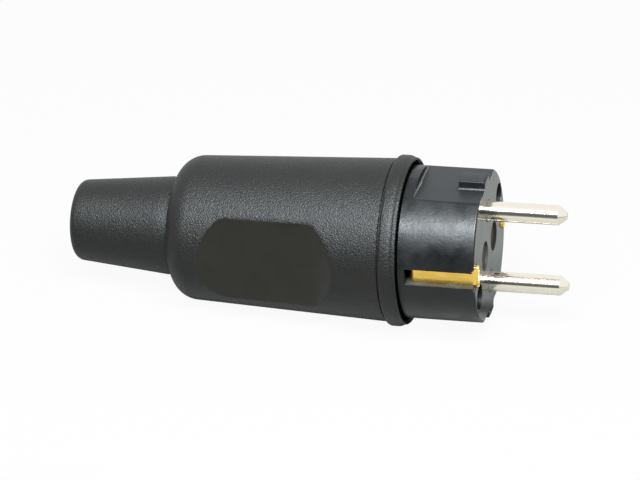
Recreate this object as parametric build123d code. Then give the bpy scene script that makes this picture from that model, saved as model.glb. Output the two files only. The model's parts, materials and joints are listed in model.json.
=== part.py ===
from build123d import *
import math
import os

# Two-pin earthed rubber plug for a rubber-sheathed lead, wired by hand.
# X is the plug's axis and the mains pins point to +X, one above the other along Z.
# The origin is the centre of the engagement face, and the earth strips lie at -Y and +Y.
# All sizes are in millimetres.

# Mains pins, turned from bar, each with a trapping collar and a pillar terminal
pin_diameter = 4.8
pin_spacing = 19.0
pin_length = 19.2
pin_tip_length = 2.0
pin_tip_diameter = 1.8
pin_root_diameter = 5.2
collar_diameter = 8.4
collar_thickness = 2.0
terminal_diameter = 7.2
terminal_overhang = 1.5
wire_hole_diameter = 3.5
wire_hole_depth = 8.0

# Front insert, the moulding that enters the socket
insert_diameter = 37.0
insert_exposed = 18.85
insert_wall = 1.9
front_wall = 3.2
face_chamfer = 0.3
flat_spacing = 32.25
flat_length = 16.0
rib_width = 5.2
rib_length = 6.4
rib_root_radius = 0.9
boss_length = 15.4
pin_boss_diameter = 8.8
rivet_boss_diameter = 9.2
screw_boss_diameter = 9.2

# Earth bracket, one bent brass strip with a hooked end at each side
strip_width = 3.8
strip_thickness = 1.0
strip_sink = 2.0
strip_bend = 0.6
hook_reach = 1.9
hook_sink = 0.45
crossbar_length = 5.5
crossbar_height = 1.5
crossbar_corner = 0.6
plate_width = 6.8
plate_length = 18.0
slot_end_gap = 0.55
slot_wall = 1.6

# Rivets that hold the earth bracket, with their heads in two shallow pockets of the face
rivet_spacing = 10.6
rivet_diameter = 3.0
rivet_head_diameter = 6.2
rivet_head_height = 0.7
rivet_tail_diameter = 4.0
rivet_tail_height = 0.8
rivet_pocket_diameter = 7.0
rivet_pocket_depth = 1.3

# Two long screws on a diagonal of the face, which draw the insert and the base together
screw_offset_y = 12.7
screw_offset_z = 7.1
screw_diameter = 3.0
screw_head_diameter = 5.4
screw_head_height = 2.2
screw_recess_diameter = 6.2
screw_recess_depth = 9.0
screw_grip = 21.0

# Terminal base, the moulding behind the insert
base_length = 11.1
arm_width = 4.0
arm_outer_width = 22.6
saddle_height = 6.5
saddle_length = 6.0
saddle_reach = 24.5
cable_groove_diameter = 9.2
earth_access_diameter = 9.0

# Screws of the mains terminals
terminal_screw_diameter = 3.4
terminal_screw_head_diameter = 5.2
terminal_screw_head_height = 2.0
terminal_screw_setback = 5.5
terminal_access_diameter = 5.8

# Earth terminal screw and its washer, on the middle of the bracket
earth_screw_diameter = 3.4
earth_screw_length = 6.0
earth_screw_head_diameter = 5.0
earth_screw_head_height = 2.0
earth_washer_diameter = 5.4
earth_washer_thickness = 0.8

# Cable clamp with its two screws and square nuts
strap_height = 4.8
strap_length = 5.0
clamp_screw_spacing = 15.8
clamp_screw_diameter = 3.0
clamp_screw_head_diameter = 5.2
clamp_screw_head_height = 1.9
clamp_nut_width = 5.0
clamp_nut_height = 2.0

# Rubber housing, one moulding: bead and flared lip at its mouth, bend-relief cone at its tail
bead_diameter = 41.5
bead_width = 3.8
bead_front_radius = 1.6
bead_rear_radius = 0.75
lip_step = 0.5
lip_length = 0.35
lip_edge_radius = 0.3
lip_land = 0.5
flare_depth = 1.6
mouth_depth = 2.55
body_front_diameter = 39.65
body_rear_diameter = 35.0
body_length = 54.45
shoulder_radius = 6.2
cone_front_diameter = 24.45
cone_rear_diameter = 19.65
cone_length = 25.65
cone_edge_radius = 2.1
bore_diameter = 34.6
chamber_diameter = 26.8
chamber_length = 26.0
funnel_length = 15.5
cable_bore_diameter = 10.6
keeper_width = 2.0
keeper_height = 0.8
keeper_setback = 1.4

# Finger recess in each side of the housing
recess_length = 33.8
recess_depth = 3.5
recess_ramp_slope = 33.0
recess_floor_radius = 4.0
recess_setback = 28.3

# Clearances
sliding_clearance = 0.1
thread_clearance = 0.05
slot_cut_width = 0.8
slot_cut_depth = 0.9
overrun = 1.0

# Stations along the axis and radii that several pieces share
mouth_x = -insert_exposed
seat_x = mouth_x - mouth_depth
bracket_x = -boss_length
bracket_rear_x = bracket_x - strip_thickness
base_front_x = bracket_x - collar_thickness
base_rear_x = seat_x - base_length
saddle_rear_x = base_rear_x - saddle_reach
saddle_front_x = saddle_rear_x + saddle_length
saddle_middle_x = (saddle_rear_x + saddle_front_x) / 2
terminal_rear_x = base_rear_x - terminal_overhang
terminal_screw_x = terminal_rear_x + terminal_screw_setback
slot_rear_x = bracket_rear_x - slot_end_gap
slot_width = strip_width + 2 * sliding_clearance
slot_depth = strip_sink + strip_thickness + strip_bend + sliding_clearance
bead_front_x = mouth_x - lip_length
bead_rear_x = bead_front_x - bead_width
crease_x = bead_rear_x - body_length
cone_end_x = crease_x - cone_length
insert_radius = insert_diameter / 2
mouth_radius = insert_radius + sliding_clearance
lip_radius = bead_diameter / 2 - lip_step
strip_radius = insert_radius - strip_sink
slot_floor_radius = insert_radius - slot_depth
hook_front_x = strip_thickness - hook_sink
hook_end_radius = strip_radius - hook_reach
flat_height = flat_spacing / 2
pin_height = pin_spacing / 2
screw_seat_x = -screw_recess_depth
rivet_seat_x = -rivet_pocket_depth
pin_places = ((0, pin_height), (0, -pin_height))
rivet_places = ((-rivet_spacing / 2, 0), (rivet_spacing / 2, 0))
screw_places = ((-screw_offset_y, -screw_offset_z), (screw_offset_y, screw_offset_z))
sides = (-1, 1)


def rod(diameter, x_from, x_to, place=(0, 0)):
    """Round bar along the axis, between two stations, at a place (y, z)."""
    start = Plane(origin=(x_from, place[0], place[1]), x_dir=(0, 1, 0), z_dir=(1, 0, 0))
    return extrude(start * Circle(diameter / 2), amount=x_to - x_from)


def post(diameter, x, y, z_from, z_to):
    """Round bar along Z."""
    return extrude(Plane.XY.offset(z_from) * Pos(x, y) * Circle(diameter / 2), amount=z_to - z_from)


def block(x_from, x_to, y_from, y_to, z_from, z_to):
    """Rectangular block between two corners."""
    size = (abs(x_to - x_from), abs(y_to - y_from), abs(z_to - z_from))
    return Pos((x_from + x_to) / 2, (y_from + y_to) / 2, (z_from + z_to) / 2) * Box(*size)


def turned(points):
    """Solid of revolution about the axis, from its outline of (x, radius) points."""
    return revolve(make_face(Polyline(*points, close=True)), Axis.X)


def rounded_turned(points, roundings):
    """Solid of revolution whose outline has some of its corners rounded: (corner number, radius)."""
    outline = make_face(Polyline(*points, close=True))
    for number, radius in roundings:
        corner = outline.vertices().sort_by_distance(points[number])[0]
        outline = fillet(corner, radius)
    return revolve(outline, Axis.X)


def driver_slot(x_from, x_to, place, reach):
    """Screwdriver slot across a head that faces along the axis."""
    half = slot_cut_width / 2
    return block(x_from, x_to, place[0] - reach, place[0] + reach, place[1] - half, place[1] + half)


def rubber_housing():
    """Tapered grip: bead and flared lip at the mouth, bend-relief cone behind, a finger recess each side."""
    body = rounded_turned(
        [
            (crease_x, 0),
            (crease_x, body_rear_diameter / 2),
            (bead_rear_x, body_front_diameter / 2),
            (bead_rear_x, 0),
        ],
        [(1, shoulder_radius)],
    )
    bead = rounded_turned(
        [
            (bead_rear_x, 0),
            (bead_rear_x, bead_diameter / 2),
            (bead_front_x, bead_diameter / 2),
            (bead_front_x, 0),
        ],
        [(1, bead_rear_radius), (2, bead_front_radius)],
    )
    lip_root_x = bead_front_x - bead_front_radius
    lip = rounded_turned(
        [(lip_root_x, 0), (lip_root_x, lip_radius), (mouth_x, lip_radius), (mouth_x, 0)],
        [(2, lip_edge_radius)],
    )
    cone = rounded_turned(
        [
            (cone_end_x, 0),
            (cone_end_x, cone_rear_diameter / 2),
            (crease_x, cone_front_diameter / 2),
            (crease_x + shoulder_radius, cone_front_diameter / 2),
            (crease_x + shoulder_radius, 0),
        ],
        [(1, cone_edge_radius)],
    )
    bore = bore_diameter / 2
    chamber = chamber_diameter / 2
    cable = cable_bore_diameter / 2
    keeper_front_x = seat_x - keeper_setback
    keeper_rear_x = keeper_front_x - keeper_width
    chamber_rear_x = base_rear_x - chamber_length
    inside = turned(
        [
            (mouth_x + overrun, 0),
            (mouth_x + overrun, lip_radius - lip_land),
            (mouth_x, lip_radius - lip_land),
            (mouth_x - flare_depth, mouth_radius),
            (seat_x, mouth_radius),
            (seat_x, bore),
            (keeper_front_x, bore),
            (keeper_front_x, bore - keeper_height),
            (keeper_rear_x, bore - keeper_height),
            (keeper_rear_x, bore),
            (base_rear_x, bore),
            (base_rear_x, chamber),
            (chamber_rear_x, chamber),
            (chamber_rear_x - funnel_length, cable),
            (cone_end_x - overrun, cable),
            (cone_end_x - overrun, 0),
        ]
    )
    recess = finger_recess()
    return body + bead + lip + cone - inside - recess - mirror(recess, about=Plane.XZ)


def finger_recess():
    """Cutter of the recess at -Y: a flat floor along the grip's taper, with a ramp at each end."""
    taper = math.atan2(body_front_diameter - body_rear_diameter, 2 * body_length)
    middle_x = bead_rear_x - recess_setback
    surface_radius = body_front_diameter / 2 - recess_setback * math.tan(taper)
    section = Plane(
        origin=(middle_x, -surface_radius, 0),
        x_dir=(math.cos(taper), -math.sin(taper), 0),
        z_dir=(0, 0, 1),
    )
    half = recess_length / 2
    ramp = recess_depth / math.tan(math.radians(recess_ramp_slope))
    corners = (
        (-half - ramp, -recess_depth),
        (half + ramp, -recess_depth),
        (half - ramp, recess_depth),
        (ramp - half, recess_depth),
    )
    outline = make_face(Polyline(*corners, close=True))
    outline = fillet(outline.vertices().group_by(Axis.Y)[-1], recess_floor_radius)
    return extrude(section * outline, amount=bead_diameter / 2, both=True)


def is_rib_foot(edge, side):
    """Tells the edges of a flat's cutter that run round the foot of the rib."""
    middle = edge.center()
    on_flat = abs(middle.Z - side * flat_height) < sliding_clearance
    beside_rib = abs(middle.Y) < rib_width / 2 + sliding_clearance
    return on_flat and beside_rib and middle.X > -rib_length - sliding_clearance


def plug_insert():
    """Front moulding: a cup whose face enters the socket and whose rim sits in the rubber's mouth."""
    shell = turned(
        [
            (seat_x, 0),
            (seat_x, insert_radius),
            (-face_chamfer, insert_radius),
            (0, insert_radius - face_chamfer),
            (0, 0),
        ]
    )
    for side in sides:
        heights = (side * flat_height, side * insert_diameter)
        flat = block(-flat_length, overrun, -insert_radius, insert_radius, *heights)
        rib = block(-rib_length, overrun, -rib_width / 2, rib_width / 2, *heights)
        cutter = flat - rib
        foot = [edge for edge in cutter.edges() if is_rib_foot(edge, side)]
        shell -= fillet(foot, rib_root_radius)
    inner_radius = insert_radius - insert_wall
    inner_height = flat_height - insert_wall
    cavity = rod(2 * inner_radius, seat_x - overrun, -front_wall)
    cavity &= block(seat_x - overrun, -front_wall, -inner_radius, inner_radius, -inner_height, inner_height)
    bosses = [rod(pin_boss_diameter, bracket_x, -front_wall, place) for place in pin_places]
    bosses += [rod(rivet_boss_diameter, bracket_x, -front_wall, place) for place in rivet_places]
    bosses += [rod(screw_boss_diameter, base_front_x, -front_wall, place) for place in screw_places]
    half_trough = slot_width / 2 + slot_wall
    trough_radius = slot_floor_radius - slot_wall
    for side in sides:
        ends = (side * trough_radius, side * insert_radius)
        bosses.append(block(base_front_x, -front_wall, *ends, -half_trough, half_trough))
    for boss in bosses:
        cavity -= boss
    insert = shell - cavity
    for place in pin_places:
        insert -= rod(pin_root_diameter + 2 * thread_clearance, bracket_x - overrun, overrun, place)
    for place in rivet_places:
        insert -= rod(rivet_pocket_diameter, rivet_seat_x, overrun, place)
        insert -= rod(rivet_diameter + 2 * thread_clearance, bracket_x - overrun, rivet_seat_x, place)
    for place in screw_places:
        insert -= rod(screw_recess_diameter, screw_seat_x, overrun, place)
        insert -= rod(screw_diameter + 2 * sliding_clearance, base_front_x - overrun, screw_seat_x, place)
    screw_tip_x = bracket_rear_x - earth_washer_thickness + earth_screw_length
    insert -= rod(earth_screw_diameter + 2 * sliding_clearance, bracket_x - overrun, screw_tip_x + overrun)
    half_slot = slot_width / 2
    half_hook = crossbar_length / 2 + sliding_clearance
    hook_radius = hook_end_radius - sliding_clearance
    for side in sides:
        outside = side * insert_diameter
        insert -= block(slot_rear_x, overrun, side * slot_floor_radius, outside, -half_slot, half_slot)
        insert -= block(
            slot_rear_x,
            bracket_x + strip_bend,
            side * (trough_radius - overrun),
            side * slot_floor_radius,
            -half_slot,
            half_slot,
        )
        insert -= block(-hook_sink, overrun, side * hook_radius, outside, -half_hook, half_hook)
    return insert


def earth_bracket():
    """Brass strip bent to a wide U, riveted behind the insert, with T-shaped hooks over the face."""
    outer = FilletPolyline(
        (hook_front_x, -hook_end_radius),
        (hook_front_x, -strip_radius),
        (bracket_rear_x, -strip_radius),
        (bracket_rear_x, strip_radius),
        (hook_front_x, strip_radius),
        (hook_front_x, hook_end_radius),
        radius=strip_bend + strip_thickness,
    )
    inside_radius = strip_radius - strip_thickness
    inner = FilletPolyline(
        (-hook_sink, hook_end_radius),
        (-hook_sink, inside_radius),
        (bracket_x, inside_radius),
        (bracket_x, -inside_radius),
        (-hook_sink, -inside_radius),
        (-hook_sink, -hook_end_radius),
        radius=strip_bend,
    )
    far_end = Line((hook_front_x, hook_end_radius), (-hook_sink, hook_end_radius))
    near_end = Line((-hook_sink, -hook_end_radius), (hook_front_x, -hook_end_radius))
    section = make_face(Wire(outer.edges() + far_end.edges() + inner.edges() + near_end.edges()))
    bracket = extrude(section, amount=strip_width / 2, both=True)
    half_bar = crossbar_length / 2
    for side in sides:
        ends = (side * hook_end_radius, side * (hook_end_radius + crossbar_height))
        crossbar = block(-hook_sink, hook_front_x, *ends, -half_bar, half_bar)
        bracket += fillet(crossbar.edges().filter_by(Axis.X), crossbar_corner)
    half_plate = plate_length / 2
    bracket += block(bracket_rear_x, bracket_x, -half_plate, half_plate, -plate_width / 2, plate_width / 2)
    for place in rivet_places:
        bracket -= rod(rivet_diameter + 2 * thread_clearance, bracket_rear_x, bracket_x, place)
    return bracket - rod(earth_screw_diameter + 2 * thread_clearance, bracket_rear_x, bracket_x)


def earth_rivet(place):
    """Brass rivet: a flat head in the face's pocket and a closed tail behind the bracket."""
    head = rod(rivet_head_diameter, rivet_seat_x, rivet_seat_x + rivet_head_height, place)
    shank = rod(rivet_diameter, bracket_rear_x, rivet_seat_x, place)
    tail = rod(rivet_tail_diameter, bracket_rear_x - rivet_tail_height, bracket_rear_x, place)
    return head + shank + tail


def mains_pin(side):
    """Turned pin: coned tip, thicker root in the insert, trapped collar and bored rear terminal."""
    radius = pin_diameter / 2
    pin = turned(
        [
            (terminal_rear_x, 0),
            (terminal_rear_x, terminal_diameter / 2),
            (base_front_x, terminal_diameter / 2),
            (base_front_x, collar_diameter / 2),
            (bracket_x, collar_diameter / 2),
            (bracket_x, pin_root_diameter / 2),
            (0, pin_root_diameter / 2),
            (0, radius),
            (pin_length - pin_tip_length, radius),
            (pin_length, pin_tip_diameter / 2),
            (pin_length, 0),
        ]
    )
    pin -= rod(wire_hole_diameter, terminal_rear_x, terminal_rear_x + wire_hole_depth)
    pin -= post(terminal_screw_diameter + 2 * thread_clearance, terminal_screw_x, 0, 0, terminal_diameter)
    outward_turn = 90 * (1 - side)
    return Pos(0, 0, side * pin_height) * Rot(outward_turn, 0, 0) * pin


def terminal_screw(side):
    """Slotted screw that closes on the wire in a pin's rear terminal."""
    tip_z = side * (pin_height + wire_hole_diameter / 2)
    seat_z = side * (pin_height + terminal_diameter / 2)
    top_z = seat_z + side * terminal_screw_head_height
    screw = post(terminal_screw_diameter, terminal_screw_x, 0, tip_z, seat_z)
    screw += post(terminal_screw_head_diameter, terminal_screw_x, 0, seat_z, top_z)
    half = slot_cut_width / 2
    reach = terminal_screw_head_diameter
    slot_floor_z = top_z - side * slot_cut_depth
    return screw - block(
        terminal_screw_x - half,
        terminal_screw_x + half,
        -reach,
        reach,
        slot_floor_z,
        top_z + side * overrun,
    )


def terminal_base():
    """Rear moulding: it traps the pin collars, houses the terminals and carries the cable saddle."""
    inner_radius = insert_radius - insert_wall - sliding_clearance
    inner_height = flat_height - insert_wall - sliding_clearance
    spigot = rod(2 * inner_radius, seat_x, base_front_x)
    spigot &= block(seat_x, base_front_x, -inner_radius, inner_radius, -inner_height, inner_height)
    body_radius = bore_diameter / 2 - thread_clearance
    groove_radius = body_radius - keeper_height
    groove_front_x = seat_x - keeper_setback + sliding_clearance
    groove_rear_x = seat_x - keeper_setback - keeper_width - sliding_clearance
    body = turned(
        [
            (base_rear_x, 0),
            (base_rear_x, body_radius),
            (groove_rear_x, body_radius),
            (groove_rear_x, groove_radius),
            (groove_front_x, groove_radius),
            (groove_front_x, body_radius),
            (seat_x, body_radius),
            (seat_x, 0),
        ]
    )
    base = spigot + body
    half_width = arm_outer_width / 2
    for side in sides:
        arm_edges = (side * (half_width - arm_width), side * half_width)
        base += block(saddle_rear_x, base_rear_x, *arm_edges, -saddle_height, 0)
    base += block(saddle_rear_x, saddle_front_x, -half_width, half_width, -saddle_height, 0)
    base -= rod(cable_groove_diameter, saddle_rear_x - overrun, saddle_front_x + overrun)
    base -= rod(earth_access_diameter, base_rear_x - overrun, base_front_x + overrun)
    terminal_bore = terminal_diameter + 2 * sliding_clearance
    for place in pin_places:
        base -= rod(terminal_bore, base_rear_x - overrun, base_front_x + overrun, place)
    for side in sides:
        base -= post(terminal_access_diameter, terminal_screw_x, 0, side * pin_height, side * bore_diameter)
    screw_hole = screw_diameter + 2 * thread_clearance
    for place in screw_places:
        base -= rod(screw_hole, screw_seat_x - screw_grip, base_front_x + overrun, place)
    half_nut = clamp_nut_width / 2 + sliding_clearance
    nut_top_z = clamp_nut_height - saddle_height
    for side in sides:
        y = side * clamp_screw_spacing / 2
        base -= post(clamp_screw_diameter + 2 * thread_clearance, saddle_middle_x, y, -saddle_height, overrun)
        base -= block(
            saddle_middle_x - half_nut,
            saddle_middle_x + half_nut,
            y - half_nut,
            y + half_nut,
            -saddle_height - overrun,
            nut_top_z,
        )
    return base


def insert_screw(place):
    """Long slotted screw from the face, through the insert and into the base."""
    head_x = screw_seat_x + screw_head_height
    screw = rod(screw_diameter, screw_seat_x - screw_grip, screw_seat_x, place)
    screw += rod(screw_head_diameter, screw_seat_x, head_x, place)
    return screw - driver_slot(head_x - slot_cut_depth, head_x + overrun, place, screw_head_diameter)


def earth_washer():
    """Flat washer under the earth screw's head."""
    washer = rod(earth_washer_diameter, bracket_rear_x - earth_washer_thickness, bracket_rear_x)
    return washer - rod(
        earth_screw_diameter + 2 * thread_clearance, bracket_rear_x - earth_washer_thickness, bracket_rear_x
    )


def earth_screw():
    """Slotted screw, turned from behind into the tapped middle of the bracket."""
    seat = bracket_rear_x - earth_washer_thickness
    head_rear_x = seat - earth_screw_head_height
    screw = rod(earth_screw_diameter, seat, seat + earth_screw_length)
    screw += rod(earth_screw_head_diameter, head_rear_x, seat)
    slot_floor_x = head_rear_x + slot_cut_depth
    return screw - driver_slot(head_rear_x - overrun, slot_floor_x, (0, 0), earth_screw_head_diameter)


def clamp_strap():
    """Moulded strap that closes the saddle over the lead."""
    half_length = strap_length / 2
    half_width = arm_outer_width / 2
    front_x = saddle_middle_x + half_length
    rear_x = saddle_middle_x - half_length
    strap = block(rear_x, front_x, -half_width, half_width, 0, strap_height)
    top_corners = strap.edges().filter_by(Axis.X).group_by(Axis.Z)[-1]
    strap = fillet(top_corners, half_width - clamp_screw_spacing / 2)
    strap -= rod(cable_groove_diameter, rear_x - overrun, front_x + overrun)
    for side in sides:
        y = side * clamp_screw_spacing / 2
        hole = clamp_screw_diameter + 2 * sliding_clearance
        strap -= post(hole, saddle_middle_x, y, -overrun, strap_height + overrun)
        strap -= post(
            clamp_screw_head_diameter + 2 * sliding_clearance,
            saddle_middle_x,
            y,
            strap_height - clamp_screw_head_height,
            strap_height + overrun,
        )
    return strap


def clamp_screw(side):
    """Slotted screw through the strap and the saddle into a trapped nut."""
    y = side * clamp_screw_spacing / 2
    seat_z = strap_height - clamp_screw_head_height
    screw = post(clamp_screw_diameter, saddle_middle_x, y, -saddle_height, seat_z)
    screw += post(clamp_screw_head_diameter, saddle_middle_x, y, seat_z, strap_height)
    half = slot_cut_width / 2
    reach = clamp_screw_head_diameter
    return screw - block(
        saddle_middle_x - reach,
        saddle_middle_x + reach,
        y - half,
        y + half,
        strap_height - slot_cut_depth,
        strap_height + overrun,
    )


def clamp_nut(side):
    """Square nut in its pocket under the saddle."""
    y = side * clamp_screw_spacing / 2
    half = clamp_nut_width / 2
    top_z = clamp_nut_height - saddle_height
    nut = block(saddle_middle_x - half, saddle_middle_x + half, y - half, y + half, -saddle_height, top_z)
    return nut - post(clamp_screw_diameter + 2 * thread_clearance, saddle_middle_x, y, -saddle_height, top_z)


pieces = {
    "rubber_housing": rubber_housing(),
    "plug_insert": plug_insert(),
    "terminal_base": terminal_base(),
    "earth_bracket": earth_bracket(),
    "earth_washer": earth_washer(),
    "earth_screw": earth_screw(),
    "clamp_strap": clamp_strap(),
}
for name, side in (("upper", 1), ("lower", -1)):
    pieces["mains_pin_" + name] = mains_pin(side)
    pieces["terminal_screw_" + name] = terminal_screw(side)
for name, side, number in (("near", -1, 0), ("far", 1, 1)):
    pieces["earth_rivet_" + name] = earth_rivet(rivet_places[number])
    pieces["insert_screw_" + name] = insert_screw(screw_places[number])
    pieces["clamp_screw_" + name] = clamp_screw(side)
    pieces["clamp_nut_" + name] = clamp_nut(side)

os.makedirs("parts", exist_ok=True)
for name, piece in pieces.items():
    piece.label = name
    export_step(piece, "parts/" + name + ".step")
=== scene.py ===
import bpy
import json
from math import asin, cos, degrees, pi, radians, sin, tan
from mathutils import Matrix, Vector

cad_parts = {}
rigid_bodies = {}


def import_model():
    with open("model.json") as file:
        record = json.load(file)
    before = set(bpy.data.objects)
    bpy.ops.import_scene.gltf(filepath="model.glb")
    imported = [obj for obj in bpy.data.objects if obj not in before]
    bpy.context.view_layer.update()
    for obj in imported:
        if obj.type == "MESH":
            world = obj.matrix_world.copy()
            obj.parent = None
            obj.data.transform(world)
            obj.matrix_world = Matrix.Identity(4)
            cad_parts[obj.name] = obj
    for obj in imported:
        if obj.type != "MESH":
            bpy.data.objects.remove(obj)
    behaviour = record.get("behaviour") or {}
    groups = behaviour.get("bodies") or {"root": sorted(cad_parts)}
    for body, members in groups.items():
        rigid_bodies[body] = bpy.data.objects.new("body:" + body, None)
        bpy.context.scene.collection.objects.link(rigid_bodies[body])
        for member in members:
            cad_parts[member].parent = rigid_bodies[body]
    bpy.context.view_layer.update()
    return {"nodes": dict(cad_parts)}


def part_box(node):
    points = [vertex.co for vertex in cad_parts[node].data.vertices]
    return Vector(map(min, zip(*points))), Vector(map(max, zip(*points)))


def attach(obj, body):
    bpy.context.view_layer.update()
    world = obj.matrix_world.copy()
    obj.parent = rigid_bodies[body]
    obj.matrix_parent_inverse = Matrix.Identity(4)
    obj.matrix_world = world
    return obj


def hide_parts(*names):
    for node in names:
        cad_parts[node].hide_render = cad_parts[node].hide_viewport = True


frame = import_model()

# Mains pins: two round pins turned from brass bar and plated with bright nickel.
# Their cutting edges are broken by about a tenth of a millimetre, and the lathe leaves fine rings.
# Each stands in the insert by a thicker root, whose plate is painted near black: painted shade
# where it goes into the insert.
MM = 0.001
PIN_EASE = 0.12 * MM
EASE_STEPS = 2
EASED_FROM = radians(32)
SMOOTH_UP_TO = radians(44)
FLAT_WITHIN = radians(0.4)
WELD_DISTANCE = 0.002 * MM
MERGE_DISTANCE = 0.08 * MM
EDGE_SLOT = 1
ROOT_SHADE_SLOT = 1
JOINT_FROM = 2.45 * MM
NICKEL = (0.87, 0.785, 0.675, 1)
NICKEL_DULL = (0.845, 0.76, 0.652, 1)
ROOT_SHADE_GREY = (0.10, 0.098, 0.094, 1)
ROOT_SHADE_DARK = (0.06, 0.058, 0.055, 1)
PATCH_DETAIL = 5
PATCH_ROUGHNESS = 0.6
SPECK_DETAIL = 2
NOISE_RANGE = (0.3, 0.7)
PLATE_PATCHES = 140
PLATE_RINGS = 420
ROUND_THE_PIN = (14, 1, 1)
PLATE_CLOUDS = (0.35, 0.62)
PLATE_ROUGHNESS = (0.135, 0.155)
RING_HEIGHT = 0.0001 * MM


def eased_copy(node, name, ease, seams=()):
    """Stands in for a node: its triangles are joined into faces, and sharp edges get a round.

    Faces end at the seams, each a point and a normal. With seams, short edges are merged first,
    the rounds keep their full width and take a slot of their own.
    """
    bpy.ops.object.select_all(action="DESELECT")
    source = frame["nodes"][node]
    source.select_set(True)
    bpy.context.view_layer.objects.active = source
    bpy.ops.object.duplicate()
    piece = bpy.context.active_object
    piece.name = name
    piece.data.name = name
    bpy.ops.object.parent_clear(type="CLEAR_KEEP_TRANSFORM")
    for key in list(piece.keys()):
        del piece[key]
    piece.data.materials.clear()
    bpy.ops.object.mode_set(mode="EDIT")
    bpy.ops.mesh.select_all(action="SELECT")
    bpy.ops.mesh.customdata_custom_splitnormals_clear()
    bpy.ops.mesh.remove_doubles(threshold=MERGE_DISTANCE if seams else WELD_DISTANCE)
    for point, normal in seams:
        bpy.ops.mesh.select_all(action="SELECT")
        bpy.ops.mesh.bisect(plane_co=point, plane_no=normal)
        bpy.ops.mesh.mark_seam()
    bpy.ops.mesh.select_all(action="SELECT")
    bpy.ops.mesh.dissolve_limited(angle_limit=FLAT_WITHIN, delimit={"SEAM"})
    bpy.ops.object.mode_set(mode="OBJECT")
    edge = piece.modifiers.new("eased_edges", "BEVEL")
    edge.width = ease
    edge.segments = EASE_STEPS
    edge.use_clamp_overlap = not seams
    edge.limit_method = "ANGLE"
    edge.angle_limit = EASED_FROM
    edge.miter_outer = "MITER_ARC"
    if seams:
        edge.material = EDGE_SLOT
    bpy.ops.object.modifier_apply(modifier=edge.name)
    bpy.ops.object.shade_smooth_by_angle(angle=SMOOTH_UP_TO)
    flat = piece.modifiers.new("flat_faces", "WEIGHTED_NORMAL")
    flat.keep_sharp = True
    bpy.ops.object.modifier_apply(modifier=flat.name)
    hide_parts(node)
    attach(piece, "root")
    return piece


def new_material(name):
    """An empty material with one Principled shader."""
    material = bpy.data.materials.new(name)
    material.use_nodes = True
    tree = material.node_tree
    return material, tree.nodes, tree.links, tree.nodes["Principled BSDF"]


def ramp_between(nodes, links, source, low, high, colour_low, colour_high):
    """A colour that goes from one to another as a value goes from low to high."""
    ramp = nodes.new("ShaderNodeValToRGB")
    ramp.color_ramp.elements[0].position = low
    ramp.color_ramp.elements[0].color = colour_low
    ramp.color_ramp.elements[1].position = high
    ramp.color_ramp.elements[1].color = colour_high
    links.new(source, ramp.inputs["Fac"])
    return ramp.outputs["Color"]


def spread(nodes, links, source, low, high, out_low, out_high):
    """A value mapped from one range to another."""
    mapped = nodes.new("ShaderNodeMapRange")
    mapped.inputs["From Min"].default_value = low
    mapped.inputs["From Max"].default_value = high
    mapped.inputs["To Min"].default_value = out_low
    mapped.inputs["To Max"].default_value = out_high
    links.new(source, mapped.inputs["Value"])
    return mapped.outputs["Result"]


def bumped(nodes, links, height, distance, under=None):
    """A normal raised by a height, in metres, from the surface or from another normal."""
    bump = nodes.new("ShaderNodeBump")
    if under is not None:
        links.new(under, bump.inputs["Normal"])
    bump.inputs["Distance"].default_value = distance
    links.new(height, bump.inputs["Height"])
    return bump.outputs["Normal"]


def dress(links, shader, colour, roughness, normal=None):
    """Links a finish to its shader."""
    links.new(colour, shader.inputs["Base Color"])
    links.new(roughness, shader.inputs["Roughness"])
    if normal is not None:
        links.new(normal, shader.inputs["Normal"])


def cloudy_patches_group():
    """Shader group for cloudy patches and fine specks, from object coordinates."""
    group = bpy.data.node_groups.new("cloudy_patches", "ShaderNodeTree")
    face = group.interface
    face.new_socket("Vector", in_out="INPUT", socket_type="NodeSocketVector")
    face.new_socket("Patch Scale", in_out="INPUT", socket_type="NodeSocketFloat")
    face.new_socket("Speck Scale", in_out="INPUT", socket_type="NodeSocketFloat")
    face.new_socket("Patches", in_out="OUTPUT", socket_type="NodeSocketFloat")
    face.new_socket("Specks", in_out="OUTPUT", socket_type="NodeSocketFloat")
    nodes, links = group.nodes, group.links
    given = nodes.new("NodeGroupInput")
    result = nodes.new("NodeGroupOutput")
    patch = nodes.new("ShaderNodeTexNoise")
    patch.inputs["Detail"].default_value = PATCH_DETAIL
    patch.inputs["Roughness"].default_value = PATCH_ROUGHNESS
    links.new(given.outputs["Vector"], patch.inputs["Vector"])
    links.new(given.outputs["Patch Scale"], patch.inputs["Scale"])
    speck = nodes.new("ShaderNodeTexNoise")
    speck.inputs["Detail"].default_value = SPECK_DETAIL
    links.new(given.outputs["Vector"], speck.inputs["Vector"])
    links.new(given.outputs["Speck Scale"], speck.inputs["Scale"])
    links.new(patch.outputs["Fac"], result.inputs["Patches"])
    links.new(speck.outputs["Fac"], result.inputs["Specks"])
    return group


cloudy_patches = cloudy_patches_group()


def patches_on(nodes, links, patch_scale, speck_scale, stretch=(1, 1, 1)):
    """Places the patches group on object coordinates and returns its two outputs."""
    place = nodes.new("ShaderNodeTexCoord")
    mapping = nodes.new("ShaderNodeMapping")
    mapping.inputs["Scale"].default_value = stretch
    links.new(place.outputs["Object"], mapping.inputs["Vector"])
    patches = nodes.new("ShaderNodeGroup")
    patches.node_tree = cloudy_patches
    patches.inputs["Patch Scale"].default_value = patch_scale
    patches.inputs["Speck Scale"].default_value = speck_scale
    links.new(mapping.outputs["Vector"], patches.inputs["Vector"])
    return patches.outputs["Patches"], patches.outputs["Specks"]


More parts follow.
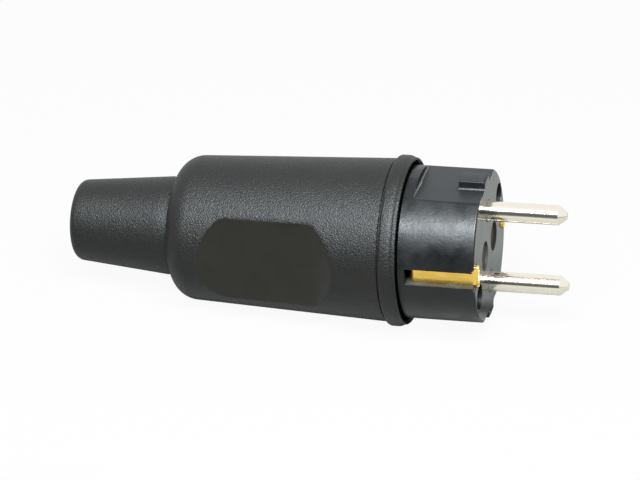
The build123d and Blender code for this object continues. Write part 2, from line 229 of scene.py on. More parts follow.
def nickel_plate(name, dull, bright):
    """Bright nickel over lathe rings, a little dull where it was handled."""
    material, nodes, links, shader = new_material(name)
    patches, rings = patches_on(nodes, links, PLATE_PATCHES, PLATE_RINGS, ROUND_THE_PIN)
    colour = ramp_between(nodes, links, patches, *PLATE_CLOUDS, dull, bright)
    roughness = spread(nodes, links, rings, *NOISE_RANGE, *PLATE_ROUGHNESS)
    dress(links, shader, colour, roughness, bumped(nodes, links, rings, RING_HEIGHT))
    shader.inputs["Metallic"].default_value = 1
    return material


nickel = nickel_plate("nickel_plate", NICKEL_DULL, NICKEL)
# The second plate is painted near black, a painted shade for the pins' roots.
shaded_root_nickel = nickel_plate("nickel_painted_shade", ROOT_SHADE_DARK, ROOT_SHADE_GREY)
for side in ("upper", "lower"):
    pin_low, pin_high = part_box("mains_pin_" + side)
    pin_z = (pin_low.z + pin_high.z) / 2
    pin = eased_copy("mains_pin_" + side, side + "_pin", PIN_EASE)
    pin.data.materials.append(nickel)
    pin.data.materials.append(shaded_root_nickel)
    # Facets beyond the plain shank take the near-black plate: painted shade at the root, where it
    # meets the face.
    for facet in pin.data.polygons:
        corners = [pin.data.vertices[number].co for number in facet.vertices]
        if max(Vector((corner.y, corner.z - pin_z)).length for corner in corners) > JOINT_FROM:
            facet.material_index = ROOT_SHADE_SLOT

# Front insert: one hard black moulding, half gloss, with cloudy flow marks from the mould.
# It takes the pins from behind, and its edges are rubbed a little lighter by sockets.
# Its foot, where it goes into the rubber, is painted near black: painted shade in the groove.
INSERT_EASE = 0.18 * MM
FACE_DEPTH = 0.05 * MM
FLAT_FROM = 15 * MM
RIB_SIDE = 4 * MM
POCKET_DEPTH = 3 * MM
RUBBED_FROM = 15 * MM
SLOT_REACH = 5 * MM
STEP_ROOT = 16.1 * MM
STEP_TOP = 17.55 * MM
FOOT_SHADE_REACH = 0.35 * MM
SQUARE_ON = 0.99
FACING = 0.9
SLOPING = 0.7
BODY_SLOT, FACE_SLOT, FLAT_SLOT, WALL_SLOT, DULL_SLOT, GROOVE_SHADE_SLOT, STEP_SLOT = 0, 2, 3, 4, 5, 6, 7
INSERT_BLACK = (0.0014, 0.0016, 0.0019, 1)
INSERT_GREY = (0.0032, 0.0035, 0.0038, 1)
INSERT_EDGE = (0.075, 0.076, 0.072, 1)
STEP_PAINTED_PALE = (0.19, 0.19, 0.172, 1)
SLOT_DARK = (0.010, 0.0095, 0.0080, 1)
SLOT_PAINTED_LIGHT = (0.042, 0.039, 0.032, 1)
GROOVE_SHADE_BLACK = (0.0001, 0.0001, 0.0001, 1)
GROOVE_SHADE_BROWN = (0.0004, 0.0004, 0.0003, 1)
BODY_ROUGHNESS = (0.31, 0.45)
EDGE_ROUGHNESS = (0.30, 0.45)
FACE_ROUGHNESS = (0.12, 0.20)
MATT_ROUGHNESS = (0.46, 0.56)
WALL_ROUGHNESS = (0.55, 0.70)
DULL_ROUGHNESS = (0.60, 0.70)
GROOVE_SHADE_ROUGHNESS = (0.80, 0.95)
STEP_ROUGHNESS = (0.45, 0.60)
MOULDED_GLOSS = 0.37
MATT_GLOSS = 0.60
WALL_GLOSS = 0.25
DULL_GLOSS = 0.10
GROOVE_SHADE_GLOSS = 0.015
FLOW_PATCHES = 210
FLOW_SPECKS = 1500
FLOW_COLOURED = (0.35, 0.70)
FLOW_GLOSSED = (0.35, 0.65)
SPECK_HEIGHT = 0.018 * MM
WAVE_SHARE = 6
foot_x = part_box("rubber_housing")[1].x


def insert_finish(name, dark, light, roughness, gloss):
    """Hard black moulding with flow marks in its gloss."""
    material, nodes, links, shader = new_material(name)
    patches, specks = patches_on(nodes, links, FLOW_PATCHES, FLOW_SPECKS)
    colour = ramp_between(nodes, links, patches, *FLOW_COLOURED, dark, light)
    clouded = spread(nodes, links, patches, *FLOW_GLOSSED, *roughness)
    waves = nodes.new("ShaderNodeMath")
    waves.operation = "MULTIPLY_ADD"
    waves.inputs[1].default_value = WAVE_SHARE
    links.new(patches, waves.inputs[0])
    links.new(specks, waves.inputs[2])
    dress(links, shader, colour, clouded, bumped(nodes, links, waves.outputs[0], SPECK_HEIGHT))
    shader.inputs["Specular IOR Level"].default_value = gloss
    return material


def step_painted_light():
    """The wall where a flat starts: black at its outer edge and painted pale towards its root, a
    painted highlight.
    """
    material, nodes, links, shader = new_material("insert_step_painted_light")
    place = nodes.new("ShaderNodeTexCoord")
    across = nodes.new("ShaderNodeSeparateXYZ")
    links.new(place.outputs["Object"], across.inputs["Vector"])
    height = nodes.new("ShaderNodeMath")
    height.operation = "ABSOLUTE"
    links.new(across.outputs["Z"], height.inputs[0])
    painted_pale = spread(nodes, links, height.outputs[0], STEP_ROOT, STEP_TOP, 1, 0)
    colour = ramp_between(nodes, links, painted_pale, 0, 1, INSERT_BLACK, STEP_PAINTED_PALE)
    patches, specks = patches_on(nodes, links, FLOW_PATCHES, FLOW_SPECKS)
    roughness = spread(nodes, links, specks, *NOISE_RANGE, *STEP_ROUGHNESS)
    dress(links, shader, colour, roughness, bumped(nodes, links, patches, SPECK_HEIGHT))
    shader.inputs["Specular IOR Level"].default_value = DULL_GLOSS
    return material


screw_low, screw_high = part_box("insert_screw_far")
recess_height = (screw_low.z + screw_high.z) / 2
face_seams = [((0, 0, height), (0, 0, 1)) for height in (-recess_height, 0, recess_height)]
face_seams.append(((0, 0, 0), (0, 1, 0)))
# A seam at the foot bounds the band that is painted near black as shade in the groove.
face_seams.append(((foot_x + FOOT_SHADE_REACH, 0, 0), (1, 0, 0)))
insert = eased_copy("plug_insert", "front_insert", INSERT_EASE, face_seams)
# Near-black, almost glossless finish: painted shade for the groove between insert and rubber.
painted_groove_shade = insert_finish("painted_groove_shade", GROOVE_SHADE_BLACK, GROOVE_SHADE_BROWN, GROOVE_SHADE_ROUGHNESS, GROOVE_SHADE_GLOSS)
for finish in (
    insert_finish("insert_black", INSERT_BLACK, INSERT_GREY, BODY_ROUGHNESS, MOULDED_GLOSS),
    insert_finish("insert_rubbed_edge", INSERT_GREY, INSERT_EDGE, EDGE_ROUGHNESS, MOULDED_GLOSS),
    insert_finish("insert_polished_face", INSERT_BLACK, INSERT_GREY, FACE_ROUGHNESS, MOULDED_GLOSS),
    insert_finish("insert_matt_flat", INSERT_BLACK, INSERT_GREY, MATT_ROUGHNESS, MATT_GLOSS),
    # Lighter matt black for slot and pocket walls: painted light in place of what they reflect.
    insert_finish("insert_wall_painted_light", SLOT_DARK, SLOT_PAINTED_LIGHT, WALL_ROUGHNESS, WALL_GLOSS),
    insert_finish("insert_dull_edge", INSERT_BLACK, INSERT_GREY, DULL_ROUGHNESS, DULL_GLOSS),
    painted_groove_shade,
    step_painted_light(),
):
    insert.data.materials.append(finish)
for facet in insert.data.polygons:
    slot = facet.material_index
    along, upright = facet.normal.x, abs(facet.normal.z)
    x, y, z = facet.center.x, abs(facet.center.y), abs(facet.center.z)
    from_axis = Vector((facet.center.y, facet.center.z)).length
    on_face = along > SQUARE_ON and x > -FACE_DEPTH
    # Outer facets at the foot take the painted shade of the groove.
    if x < foot_x + FOOT_SHADE_REACH and from_axis > FLAT_FROM:
        slot = GROOVE_SHADE_SLOT
    # Forward-facing walls where a flat starts take the pale painted highlight at their root.
    elif along > FACING and not on_face and z > FLAT_FROM:
        slot = STEP_SLOT
    # Walls of the earth slots and of the rivet pockets take the lighter matt black: painted light
    # where they catch it.
    elif z < SLOT_REACH and upright > SLOPING and from_axis > SLOT_REACH:
        slot = WALL_SLOT
    elif slot == BODY_SLOT and on_face:
        slot = FACE_SLOT
    elif slot == EDGE_SLOT and from_axis < RUBBED_FROM:
        slot = DULL_SLOT
    elif from_axis < RUBBED_FROM and x > -POCKET_DEPTH:
        slot = WALL_SLOT
    elif slot == EDGE_SLOT and z > FLAT_FROM and y < RIB_SIDE:
        slot = DULL_SLOT
    elif slot == BODY_SLOT and upright > SQUARE_ON and z > FLAT_FROM:
        slot = FLAT_SLOT
    facet.material_index = slot

# Earth bracket and its two rivets: rolled brass strip, cut and bent to a wide U.
# The rivets close on it behind the insert, with their heads in the pockets of the face.
BRACKET_EASE = 0.15 * MM
BRASS = (1.0, 0.65, 0.150, 1)
BRASS_TARNISH = (0.80, 0.49, 0.103, 1)
RIVET_BRASS = (0.075, 0.060, 0.042, 1)
RIVET_BROWN = (0.040, 0.033, 0.026, 1)
BRASS_PATCHES = 230
BRASS_LINES = 900
ALONG_THE_STRIP = (0.25, 1, 1)
BRASS_BLOOM = (0.30, 0.60)
STRIP_ROUGHNESS = (0.22, 0.42)
RIVET_ROUGHNESS = (0.55, 0.70)
LINE_HEIGHT = 0.006 * MM


def rolled_brass(name, dark, light, roughness):
    """Brass with lines along the strip and a brown bloom of tarnish."""
    material, nodes, links, shader = new_material(name)
    patches, lines = patches_on(nodes, links, BRASS_PATCHES, BRASS_LINES, ALONG_THE_STRIP)
    colour = ramp_between(nodes, links, patches, *BRASS_BLOOM, dark, light)
    lined = spread(nodes, links, lines, *NOISE_RANGE, *roughness)
    dress(links, shader, colour, lined, bumped(nodes, links, lines, LINE_HEIGHT))
    shader.inputs["Metallic"].default_value = 1
    return material


def coat(node, material):
    """Gives a CAD node its material."""
    frame["nodes"][node].data.materials.clear()
    frame["nodes"][node].data.materials.append(material)


brass = rolled_brass("rolled_brass", BRASS_TARNISH, BRASS, STRIP_ROUGHNESS)
bracket = eased_copy("earth_bracket", "earth_strip", BRACKET_EASE)
bracket.data.materials.append(brass)
dull_brass = rolled_brass("dull_brass", RIVET_BROWN, RIVET_BRASS, RIVET_ROUGHNESS)
for place in ("near", "far"):
    coat("earth_rivet_" + place, dull_brass)

# Screws, washer and nuts: small steel hardware with a dull zinc plate.
# They close the two mains terminals, the earth terminal, the insert and the cable clamp.
ZINC = (0.60, 0.60, 0.58, 1)
ZINC_DULL = (0.36, 0.36, 0.36, 1)
ZINC_PATCHES = 420
ZINC_SPECKS = 2600
ZINC_CLOUDS = (0.35, 0.65)
ZINC_ROUGHNESS = (0.28, 0.48)


def zinc_plate():
    """Zinc-plated steel, cloudy and half matt."""
    material, nodes, links, shader = new_material("zinc_plate")
    patches, specks = patches_on(nodes, links, ZINC_PATCHES, ZINC_SPECKS)
    colour = ramp_between(nodes, links, patches, *ZINC_CLOUDS, ZINC_DULL, ZINC)
    dress(links, shader, colour, spread(nodes, links, specks, *NOISE_RANGE, *ZINC_ROUGHNESS))
    shader.inputs["Metallic"].default_value = 1
    return material


zinc = zinc_plate()
for node in frame["nodes"]:
    if "screw" in node or "nut" in node or "washer" in node:
        coat(node, zinc)

# Terminal base and clamp strap: matt black mouldings inside the grip.
# The base traps the pins' collars, and the strap closes its saddle over a lead.
BASE_BLACK = (0.030, 0.030, 0.031, 1)
BASE_GREY = (0.060, 0.060, 0.060, 1)
BASE_ROUGHNESS = (0.5, 0.7)
base_plastic = insert_finish("base_plastic", BASE_BLACK, BASE_GREY, BASE_ROUGHNESS, MOULDED_GLOSS)
for node in ("terminal_base", "clamp_strap"):
    coat(node, base_plastic)

# Rubber grip: one black moulding, pulled over the assembled insert and base.
# A bead stiffens its mouth, the sides have flats for the fingers, and the cone guards the lead.
RUBBER_BLACK = (0.0016, 0.0015, 0.0011, 1)
RUBBER_BROWN = (0.0036, 0.0030, 0.0019, 1)
RUBBER_PATCHES = 110
GRAIN_SCALE = 2800
RUBBER_CLOUDS = (0.35, 0.75)
RUBBER_ROUGHNESS = (0.40, 0.54)
GRAIN_HEIGHT = 0.18 * MM
RUBBER_GLOSS = 0.37
grip_low, grip_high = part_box("rubber_housing")
mouth_x = grip_high.x
tail_x = grip_low.x
bead_radius = grip_high.z
mouth_radius = 18.6 * MM
lip_radius = 20.25 * MM
lip_length = 0.35 * MM
lip_edge_round = 0.3 * MM
lip_land = 0.5 * MM
flare_depth = 1.6 * MM
bead_width = 3.8 * MM
bead_front_round = 1.6 * MM
bead_rear_round = 0.75 * MM
foot_groove = 0.25 * MM
body_front_radius = 19.825 * MM
body_rear_radius = 17.5 * MM
body_length = 54.45 * MM
shoulder_round = 6.2 * MM
cone_front_radius = 12.225 * MM
cone_rear_radius = 9.825 * MM
cone_edge_round = 2.1 * MM
cable_radius = 5.3 * MM
cable_lip_round = 0.4 * MM
funnel_end_x = -74.0 * MM
chamber_rear_x = -58.5 * MM
chamber_front_x = -32.5 * MM
chamber_radius = 13.4 * MM
seat_x = -21.4 * MM
bore_radius = 17.3 * MM
keeper_front_x = -22.8 * MM
keeper_rear_x = -24.8 * MM
keeper_radius = 16.5 * MM
bead_front_x = mouth_x - lip_length
bead_rear_x = bead_front_x - bead_width
crease_x = bead_rear_x - body_length
taper = (body_front_radius - body_rear_radius) / body_length
SEGMENTS = 168
FLARE_RINGS = 3
LIP_RINGS = 5
BEAD_FRONT_RINGS = 8
BEAD_REAR_RINGS = 5
BODY_RINGS = 30
SHOULDER_RINGS = 16
SHOULDER_END = 175
CONE_RINGS = 14
CONE_EDGE_RINGS = 9
CABLE_LIP_RINGS = 4
CLOSING_DISTANCE = 0.01 * MM


def arc(centre_x, centre_radius, radius, start, end, steps):
    """Stations (x, radius) along a round, by the angle from the plug's axis in degrees."""
    stations = []
    for step in range(steps + 1):
        angle = radians(start + (end - start) * step / steps)
        stations.append((centre_x + radius * cos(angle), centre_radius + radius * sin(angle)))
    return stations


def run(start, end, steps):
    """Evenly spaced stations after start, up to end."""
    length, rise = end[0] - start[0], end[1] - start[1]
    return [
        (start[0] + length * step / steps, start[1] + rise * step / steps)
        for step in range(1, steps + 1)
    ]


def grip_stations():
    """The grip's section, from the mouth over the outside to the tail and back inside."""
    flare_root = (mouth_x - flare_depth, mouth_radius)
    stations = [flare_root] + run(flare_root, (mouth_x, lip_radius - lip_land), FLARE_RINGS)
    lip_centre = (mouth_x - lip_edge_round, lip_radius - lip_edge_round)
    stations += arc(*lip_centre, lip_edge_round, 0, 90, LIP_RINGS)
    front_centre = (bead_front_x - bead_front_round, bead_radius - bead_front_round)
    notch = degrees(asin((lip_radius - front_centre[1]) / bead_front_round))
    stations += arc(*front_centre, bead_front_round, notch, 90, BEAD_FRONT_RINGS)
    rear_centre = (bead_rear_x + bead_rear_round, bead_radius - bead_rear_round)
    stations += arc(*rear_centre, bead_rear_round, 90, 180, BEAD_REAR_RINGS)
    stations += [
        (bead_rear_x, body_front_radius - foot_groove),
        (bead_rear_x - foot_groove, body_front_radius - foot_groove),
        (bead_rear_x - 2 * foot_groove, body_front_radius),
    ]
    shoulder = arc(
        crease_x + shoulder_round,
        body_rear_radius + taper * shoulder_round - shoulder_round / cos(taper),
        shoulder_round,
        degrees(pi / 2 + taper),
        SHOULDER_END,
        SHOULDER_RINGS,
    )
    stations += run(stations[-1], shoulder[0], BODY_RINGS) + shoulder[1:]
    stations += [
        (crease_x, cone_front_radius - foot_groove),
        (crease_x - foot_groove, cone_front_radius - foot_groove),
    ]
    cone_taper = (cone_front_radius - cone_rear_radius) / (crease_x - tail_x)
    cone_edge = arc(
        tail_x + cone_edge_round,
        cone_rear_radius + cone_taper * cone_edge_round - cone_edge_round / cos(cone_taper),
        cone_edge_round,
        90 + degrees(cone_taper),
        180,
        CONE_EDGE_RINGS,
    )
    cone_start = (crease_x - 2 * foot_groove, cone_front_radius)
    stations += run(cone_start, cone_edge[0], CONE_RINGS) + cone_edge[1:]
    cable_lip_centre = (tail_x + cable_lip_round, cable_radius + cable_lip_round)
    stations += arc(*cable_lip_centre, cable_lip_round, 180, 270, CABLE_LIP_RINGS)
    stations += [
        (funnel_end_x, cable_radius),
        (chamber_rear_x, chamber_radius),
        (chamber_front_x, chamber_radius),
        (chamber_front_x, bore_radius),
        (keeper_rear_x, bore_radius),
        (keeper_rear_x, keeper_radius),
        (keeper_front_x, keeper_radius),
        (keeper_front_x, bore_radius),
        (seat_x, bore_radius),
        (seat_x, mouth_radius),
        flare_root,
    ]
    return stations


def turn_ring(name, stations):
    """Turned body: a circle is extruded from station to station, and its ends are joined."""
    bpy.ops.object.select_all(action="DESELECT")
    x, radius = stations[0]
    bpy.ops.mesh.primitive_circle_add(
        vertices=SEGMENTS,
        radius=radius,
        fill_type="NOTHING",
        location=(x, 0, 0),
        rotation=(0, pi / 2, 0),
    )
    piece = bpy.context.active_object
    piece.name = name
    bpy.ops.object.transform_apply(location=True, rotation=True, scale=True)
    bpy.ops.object.mode_set(mode="EDIT")
    bpy.ops.mesh.select_all(action="SELECT")
    for next_x, next_radius in stations[1:]:
        bpy.ops.mesh.extrude_edges_move(TRANSFORM_OT_translate={"value": (next_x - x, 0, 0)})
        scale = next_radius / radius
        bpy.ops.transform.resize(value=(1, scale, scale), center_override=(next_x, 0, 0))
        x, radius = next_x, next_radius
    bpy.ops.mesh.select_all(action="SELECT")
    bpy.ops.mesh.remove_doubles(threshold=CLOSING_DISTANCE)
    bpy.ops.mesh.normals_make_consistent(inside=False)
    bpy.ops.object.mode_set(mode="OBJECT")
    return piece


grip = turn_ring("rubber_grip", grip_stations())

# Flats for the fingers: the mould's core leaves a smooth flat in each side of the grip.
# A ramp at each end runs up to the grip's surface, and the rim is softly rounded.
recess_length = 33.8 * MM
recess_depth = 3.5 * MM
recess_ramp = radians(33)
recess_floor_round = 4.0 * MM
recess_setback = 28.3 * MM
recess_middle_x = bead_rear_x - recess_setback
FLOOR_ROUND_STEPS = 8
NEAR_TOP = 0.9
NEAR_FLOOR = 0.1
RIM_SOFTNESS = 2.2 * MM
RIM_INNER = 18.5 * MM
RIM_OUTER = 20.0 * MM
RIM_SAMPLES = 8
FLAT_BLACK = (0.0032, 0.0025, 0.0012, 1)
FLAT_BROWN = (0.0060, 0.0045, 0.0021, 1)
FLAT_PATCHES = 120
FLAT_SPECKS = 900
FLAT_CLOUDS = (0.35, 0.7)
FLAT_ROUGHNESS = (0.34, 0.44)
FLAT_SPECK_HEIGHT = 0.012 * MM
GRIP_SMOOTH_UP_TO = radians(28)
LIP_SHADE_SLOT = 2
FLARE_SHADED_SHARE = 0.6


def select_edges(piece, chosen):
    """Selects in edit mode the edges that a test of their two ends picks."""
    bpy.ops.mesh.select_all(action="DESELECT")
    bpy.ops.object.mode_set(mode="OBJECT")
    points = piece.data.vertices
    for edge in piece.data.edges:
        first, second = (points[number].co for number in edge.vertices)
        edge.select = chosen(first, second)
    bpy.ops.object.mode_set(mode="EDIT")


def recess_cutter(name, turn):
    """The mould core of one flat: a bar across the grip, with a ramp at each end of its floor."""
    bpy.ops.object.select_all(action="DESELECT")
    height = 2 * recess_depth
    ramp_run = recess_depth / tan(recess_ramp)
    floor_length = recess_length - 2 * ramp_run
    top_length = recess_length + 2 * ramp_run
    bpy.ops.mesh.primitive_cube_add(
        size=1, location=(0, 0, height / 2), scale=(floor_length, 2 * bead_radius, height)
    )
    core = bpy.context.active_object
    core.name = name
    bpy.ops.object.transform_apply(location=True, rotation=True, scale=True)
    bpy.ops.object.mode_set(mode="EDIT")
    bpy.ops.mesh.select_mode(type="EDGE")
    select_edges(core, lambda first, second: min(first.z, second.z) > NEAR_TOP * height)
    bpy.ops.transform.resize(
        value=(top_length / floor_length, 1, 1), center_override=(0, 0, height)
    )
    select_edges(
        core,
        lambda first, second: max(first.z, second.z) < NEAR_FLOOR * height
        and abs(first.y - second.y) > bead_radius,
    )
    corner_offset = recess_floor_round * tan(recess_ramp / 2)
    bpy.ops.mesh.bevel(offset=corner_offset, segments=FLOOR_ROUND_STEPS, affect="EDGES")
    bpy.ops.mesh.select_all(action="SELECT")
    bpy.ops.mesh.normals_make_consistent(inside=False)
    bpy.ops.object.mode_set(mode="OBJECT")
    surface = body_front_radius - taper * (bead_rear_x - recess_middle_x)
    lay_flat = Matrix.Rotation(pi / 2, 4, "X")
    follow_taper = Matrix.Rotation(-taper, 4, "Z")
    place = Matrix.Translation((recess_middle_x, recess_depth - surface, 0))
    core.matrix_world = Matrix.Rotation(turn, 4, "X") @ place @ follow_taper @ lay_flat
    bpy.ops.object.transform_apply(location=True, rotation=True, scale=True)
    return core


def soft_rim_group():
    """Shader group for a normal that is rounded over the rim of a flat and plain elsewhere."""
    group = bpy.data.node_groups.new("soft_rim", "ShaderNodeTree")
    face = group.interface
    face.new_socket("Vector", in_out="INPUT", socket_type="NodeSocketVector")
    face.new_socket("Middle", in_out="INPUT", socket_type="NodeSocketFloat")
    face.new_socket("Softness", in_out="INPUT", socket_type="NodeSocketFloat")
    face.new_socket("Normal", in_out="OUTPUT", socket_type="NodeSocketVector")
    nodes, links = group.nodes, group.links
    given = nodes.new("NodeGroupInput")
    result = nodes.new("NodeGroupOutput")
    along = nodes.new("ShaderNodeSeparateXYZ")
    links.new(given.outputs["Vector"], along.inputs["Vector"])
    away = nodes.new("ShaderNodeMath")
    away.operation = "SUBTRACT"
    links.new(along.outputs["X"], away.inputs[0])
    links.new(given.outputs["Middle"], away.inputs[1])
    reach = nodes.new("ShaderNodeMath")
    reach.operation = "ABSOLUTE"
    links.new(away.outputs[0], reach.inputs[0])
    near = spread(nodes, links, reach.outputs[0], RIM_INNER, RIM_OUTER, 1, 0)
    radius = nodes.new("ShaderNodeMath")
    radius.operation = "MULTIPLY"
    links.new(near, radius.inputs[0])
    links.new(given.outputs["Softness"], radius.inputs[1])
    rim = nodes.new("ShaderNodeBevel")
    rim.samples = RIM_SAMPLES
    links.new(radius.outputs[0], rim.inputs["Radius"])
    links.new(rim.outputs["Normal"], result.inputs["Normal"])
    return group


soft_rim = soft_rim_group()


def softened_rim(nodes, links):
    """Places the rim group on object coordinates and returns its normal."""
    place = nodes.new("ShaderNodeTexCoord")
    rim = nodes.new("ShaderNodeGroup")
    rim.node_tree = soft_rim
    rim.inputs["Middle"].default_value = recess_middle_x
    rim.inputs["Softness"].default_value = RIM_SOFTNESS
    links.new(place.outputs["Object"], rim.inputs["Vector"])
    return rim.outputs["Normal"]


def smooth_rubber():
    """The polished rubber of the flats, brownish and without grain."""
    material, nodes, links, shader = new_material("smooth_rubber")
    patches, specks = patches_on(nodes, links, FLAT_PATCHES, FLAT_SPECKS)
    colour = ramp_between(nodes, links, patches, *FLAT_CLOUDS, FLAT_BLACK, FLAT_BROWN)
    roughness = spread(nodes, links, patches, *NOISE_RANGE, *FLAT_ROUGHNESS)
    raised = bumped(nodes, links, specks, FLAT_SPECK_HEIGHT, softened_rim(nodes, links))
    dress(links, shader, colour, roughness, raised)
    shader.inputs["Specular IOR Level"].default_value = RUBBER_GLOSS
    return material


def grained_rubber():
    """Black rubber with the fine leathery grain of the mould."""
    material, nodes, links, shader = new_material("grained_rubber")
    patches, specks = patches_on(nodes, links, RUBBER_PATCHES, GRAIN_SCALE)
    colour = ramp_between(nodes, links, patches, *RUBBER_CLOUDS, RUBBER_BLACK, RUBBER_BROWN)
    roughness = spread(nodes, links, specks, *NOISE_RANGE, *RUBBER_ROUGHNESS)
    raised = bumped(nodes, links, specks, GRAIN_HEIGHT, softened_rim(nodes, links))
    dress(links, shader, colour, roughness, raised)
    shader.inputs["Specular IOR Level"].default_value = RUBBER_GLOSS
    return material


grip.data.materials.append(grained_rubber())
polished = smooth_rubber()
for name, turn in (("near_core", 0), ("far_core", pi)):
    core = recess_cutter(name, turn)
    core.data.materials.append(polished)
    cut = grip.modifiers.new(name, "BOOLEAN")
    cut.object = core
    cut.operation = "DIFFERENCE"
    cut.solver = "EXACT"
    cut.material_mode = "TRANSFER"
    bpy.ops.object.select_all(action="DESELECT")
    grip.select_set(True)
    bpy.context.view_layer.objects.active = grip
    bpy.ops.object.modifier_apply(modifier=cut.name)
    bpy.data.objects.remove(core)
# The inside of the mouth's flare is painted near black like the insert's foot: painted shade in the
# groove between them.
grip.data.materials.append(painted_groove_shade)
shaded_radius = mouth_radius + FLARE_SHADED_SHARE * (lip_radius - lip_land - mouth_radius)
for facet in grip.data.polygons:
    from_axis = Vector((facet.center.y, facet.center.z)).length
    if from_axis < shaded_radius and facet.center.x > mouth_x - flare_depth:
        facet.material_index = LIP_SHADE_SLOT
bpy.ops.object.shade_smooth_by_angle(angle=GRIP_SMOOTH_UP_TO)
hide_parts("rubber_housing")
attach(grip, "root")

# Studio: a pale floor that touches the bead and the rear shoulder, a white room and one soft box.
# The camera sees the floor and the room as white, and the floor keeps the plug's shadow.
# The light that they throw back is weaker in front, so that the plug's lower side stays dark.
FLOOR_SIZE = 3.0
FLOOR_GREY = (0.25, 0.247, 0.229, 1)
FLOOR_FRONT = (0.03, 0.03, 0.028, 1)
FLOOR_LIT_FROM = -0.085
FLOOR_DARK_FROM = -0.15
FLOOR_SHOWN_WHITE = 0.94
FLOOR_MIRRORED_WHITE = 0.80
FLOOR_MIRRORED_FROM = 0.02
FLOOR_MIRRORED_TO = 0.20
FLOOR_ROUGHNESS = 0.9
FLOOR_GLOSS = 0.2
ROOM_COLOUR = (0.93, 0.97, 1.0, 1)
SHOWN_COLOUR = (1, 1, 1, 1)
SHOWN_STRENGTH = 1
ROOM_DIFFUSE = 0.30
ROOM_FRONT = 0.12
ROOM_BACK = 1.12
ROOM_FRONT_TO = -0.92
ROOM_BACK_FROM = -0.55
KEY_AZIMUTH = radians(22)
KEY_ELEVATION = radians(51)
KEY_DISTANCE = 0.75
KEY_LENGTH = 0.54
KEY_WIDTH = 0.25
KEY_POWER = 24.5
KEY_COLOUR = (0.875, 0.95, 1.0)
contact_front = Vector((bead_rear_x + bead_width / 2, 0, -bead_radius))
contact_rear = Vector((crease_x + shoulder_round, 0, -body_rear_radius - taper * shoulder_round))
lie = contact_front - contact_rear
bpy.ops.mesh.primitive_plane_add(
    size=FLOOR_SIZE, location=contact_front, rotation=(0, -lie.z / lie.x, 0)
)
floor = bpy.context.active_object
floor.name = "floor"
material, nodes, links, shader = new_material("pale_floor")
shader.inputs["Roughness"].default_value = FLOOR_ROUGHNESS
shader.inputs["Specular IOR Level"].default_value = FLOOR_GLOSS
ground = nodes.new("ShaderNodeTexCoord")
across = nodes.new("ShaderNodeSeparateXYZ")
links.new(ground.outputs["Object"], across.inputs["Vector"])
depth = across.outputs["Y"]
lit = spread(nodes, links, depth, FLOOR_DARK_FROM, FLOOR_LIT_FROM, 0, 1)
shade = ramp_between(nodes, links, lit, 0, 1, FLOOR_FRONT, FLOOR_GREY)
links.new(shade, shader.inputs["Base Color"])
# Behind the plug the floor glows white in reflections only: a painted reflection that brightens the
# insert's face.
behind = spread(
    nodes, links, depth, FLOOR_MIRRORED_FROM, FLOOR_MIRRORED_TO, 0, FLOOR_MIRRORED_WHITE
)
rays = nodes.new("ShaderNodeLightPath")
mirrored = nodes.new("ShaderNodeMath")
mirrored.operation = "MULTIPLY"
links.new(rays.outputs["Is Glossy Ray"], mirrored.inputs[0])
links.new(behind, mirrored.inputs[1])
share = nodes.new("ShaderNodeMath")
share.operation = "MULTIPLY_ADD"
share.inputs[1].default_value = FLOOR_SHOWN_WHITE
links.new(rays.outputs["Is Camera Ray"], share.inputs[0])
links.new(mirrored.outputs[0], share.inputs[2])
glow = nodes.new("ShaderNodeEmission")
mixed = nodes.new("ShaderNodeMixShader")
links.new(share.outputs[0], mixed.inputs["Fac"])
links.new(shader.outputs["BSDF"], mixed.inputs[1])
links.new(glow.outputs["Emission"], mixed.inputs[2])
links.new(mixed.outputs["Shader"], nodes["Material Output"].inputs["Surface"])
floor.data.materials.append(material)

world = bpy.data.worlds.new("white_room")
bpy.context.scene.world = world
world.use_nodes = True
nodes, links = world.node_tree.nodes, world.node_tree.links
background = nodes["Background"]
rays = nodes.new("ShaderNodeLightPath")
tint = nodes.new("ShaderNodeMixRGB")
tint.inputs["Color1"].default_value = ROOM_COLOUR
tint.inputs["Color2"].default_value = SHOWN_COLOUR
links.new(rays.outputs["Is Camera Ray"], tint.inputs["Fac"])
links.new(tint.outputs["Color"], background.inputs["Color"])
way = nodes.new("ShaderNodeTexCoord")
parts = nodes.new("ShaderNodeSeparateXYZ")
links.new(way.outputs["Generated"], parts.inputs["Vector"])
walls = spread(
    nodes, links, parts.outputs["Y"], ROOM_FRONT_TO, ROOM_BACK_FROM, ROOM_FRONT, ROOM_BACK
)
reflected = nodes.new("ShaderNodeMix")
reflected.inputs["A"].default_value = ROOM_DIFFUSE
links.new(rays.outputs["Is Glossy Ray"], reflected.inputs["Factor"])
links.new(walls, reflected.inputs["B"])
shown = nodes.new("ShaderNodeMix")
shown.inputs["B"].default_value = SHOWN_STRENGTH
links.new(rays.outputs["Is Camera Ray"], shown.inputs["Factor"])
links.new(reflected.outputs["Result"], shown.inputs["A"])
links.new(shown.outputs["Result"], background.inputs["Strength"])


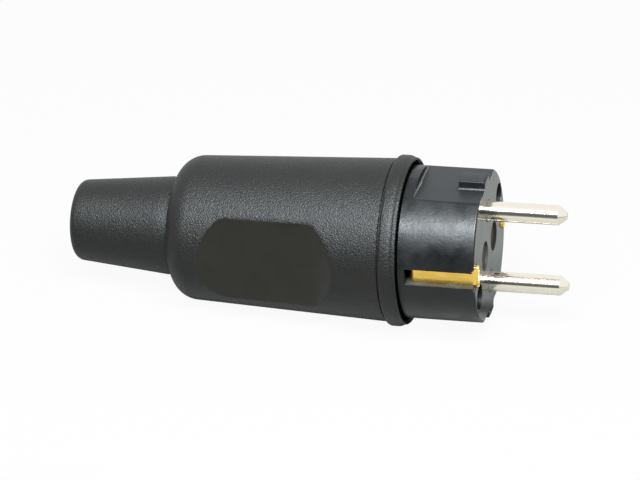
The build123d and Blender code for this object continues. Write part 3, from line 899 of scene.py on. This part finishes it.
def direction(azimuth, elevation):
    """The way from the plug to a point round it, with azimuth 0 in front of its near side."""
    level = cos(elevation)
    return Vector((sin(azimuth) * level, -cos(azimuth) * level, sin(elevation)))


middle = Vector(((mouth_x + tail_x) / 2, 0, 0))
lamp = bpy.data.lights.new("key_box", "AREA")
lamp.shape = "RECTANGLE"
lamp.size, lamp.size_y = KEY_LENGTH, KEY_WIDTH
lamp.energy = KEY_POWER
lamp.color = KEY_COLOUR
key_box = bpy.data.objects.new("key_box", lamp)
bpy.context.scene.collection.objects.link(key_box)
to_lamp = direction(KEY_AZIMUTH, KEY_ELEVATION)
key_box.location = middle + KEY_DISTANCE * to_lamp
key_box.rotation_euler = to_lamp.to_track_quat("Z", "Y").to_euler()

# Camera: the photograph's direction and framing, for an image of 640 by 480.
# It stands about 85 cm away with a long lens, looks down on the plug and has a small roll.
CAMERA_AZIMUTH = radians(15.362)
CAMERA_ELEVATION = radians(27.492)
CAMERA_ROLL = radians(-3.455)
CAMERA_DISTANCE = 851.5 * MM
CAMERA_TARGET = Vector((-42.04, 0, -1.39)) * MM
FOCAL_PIXELS = 3500
IMAGE_WIDTH = 640
camera_data = bpy.data.cameras.new("camera")
camera = bpy.data.objects.new("camera", camera_data)
bpy.context.scene.collection.objects.link(camera)
camera_data.sensor_fit = "HORIZONTAL"
camera_data.lens = camera_data.sensor_width * FOCAL_PIXELS / IMAGE_WIDTH
to_camera = direction(CAMERA_AZIMUTH, CAMERA_ELEVATION)
right = Vector((0, 0, 1)).cross(to_camera).normalized()
up = to_camera.cross(right)
rolled_right = cos(CAMERA_ROLL) * right + sin(CAMERA_ROLL) * up
rolled_up = cos(CAMERA_ROLL) * up - sin(CAMERA_ROLL) * right
rolled_axes = Matrix((rolled_right, rolled_up, to_camera)).transposed().to_4x4()
camera.matrix_world = Matrix.Translation(CAMERA_TARGET + CAMERA_DISTANCE * to_camera) @ rolled_axes
bpy.context.scene.camera = camera
bpy.context.scene.view_settings.view_transform = "Standard"
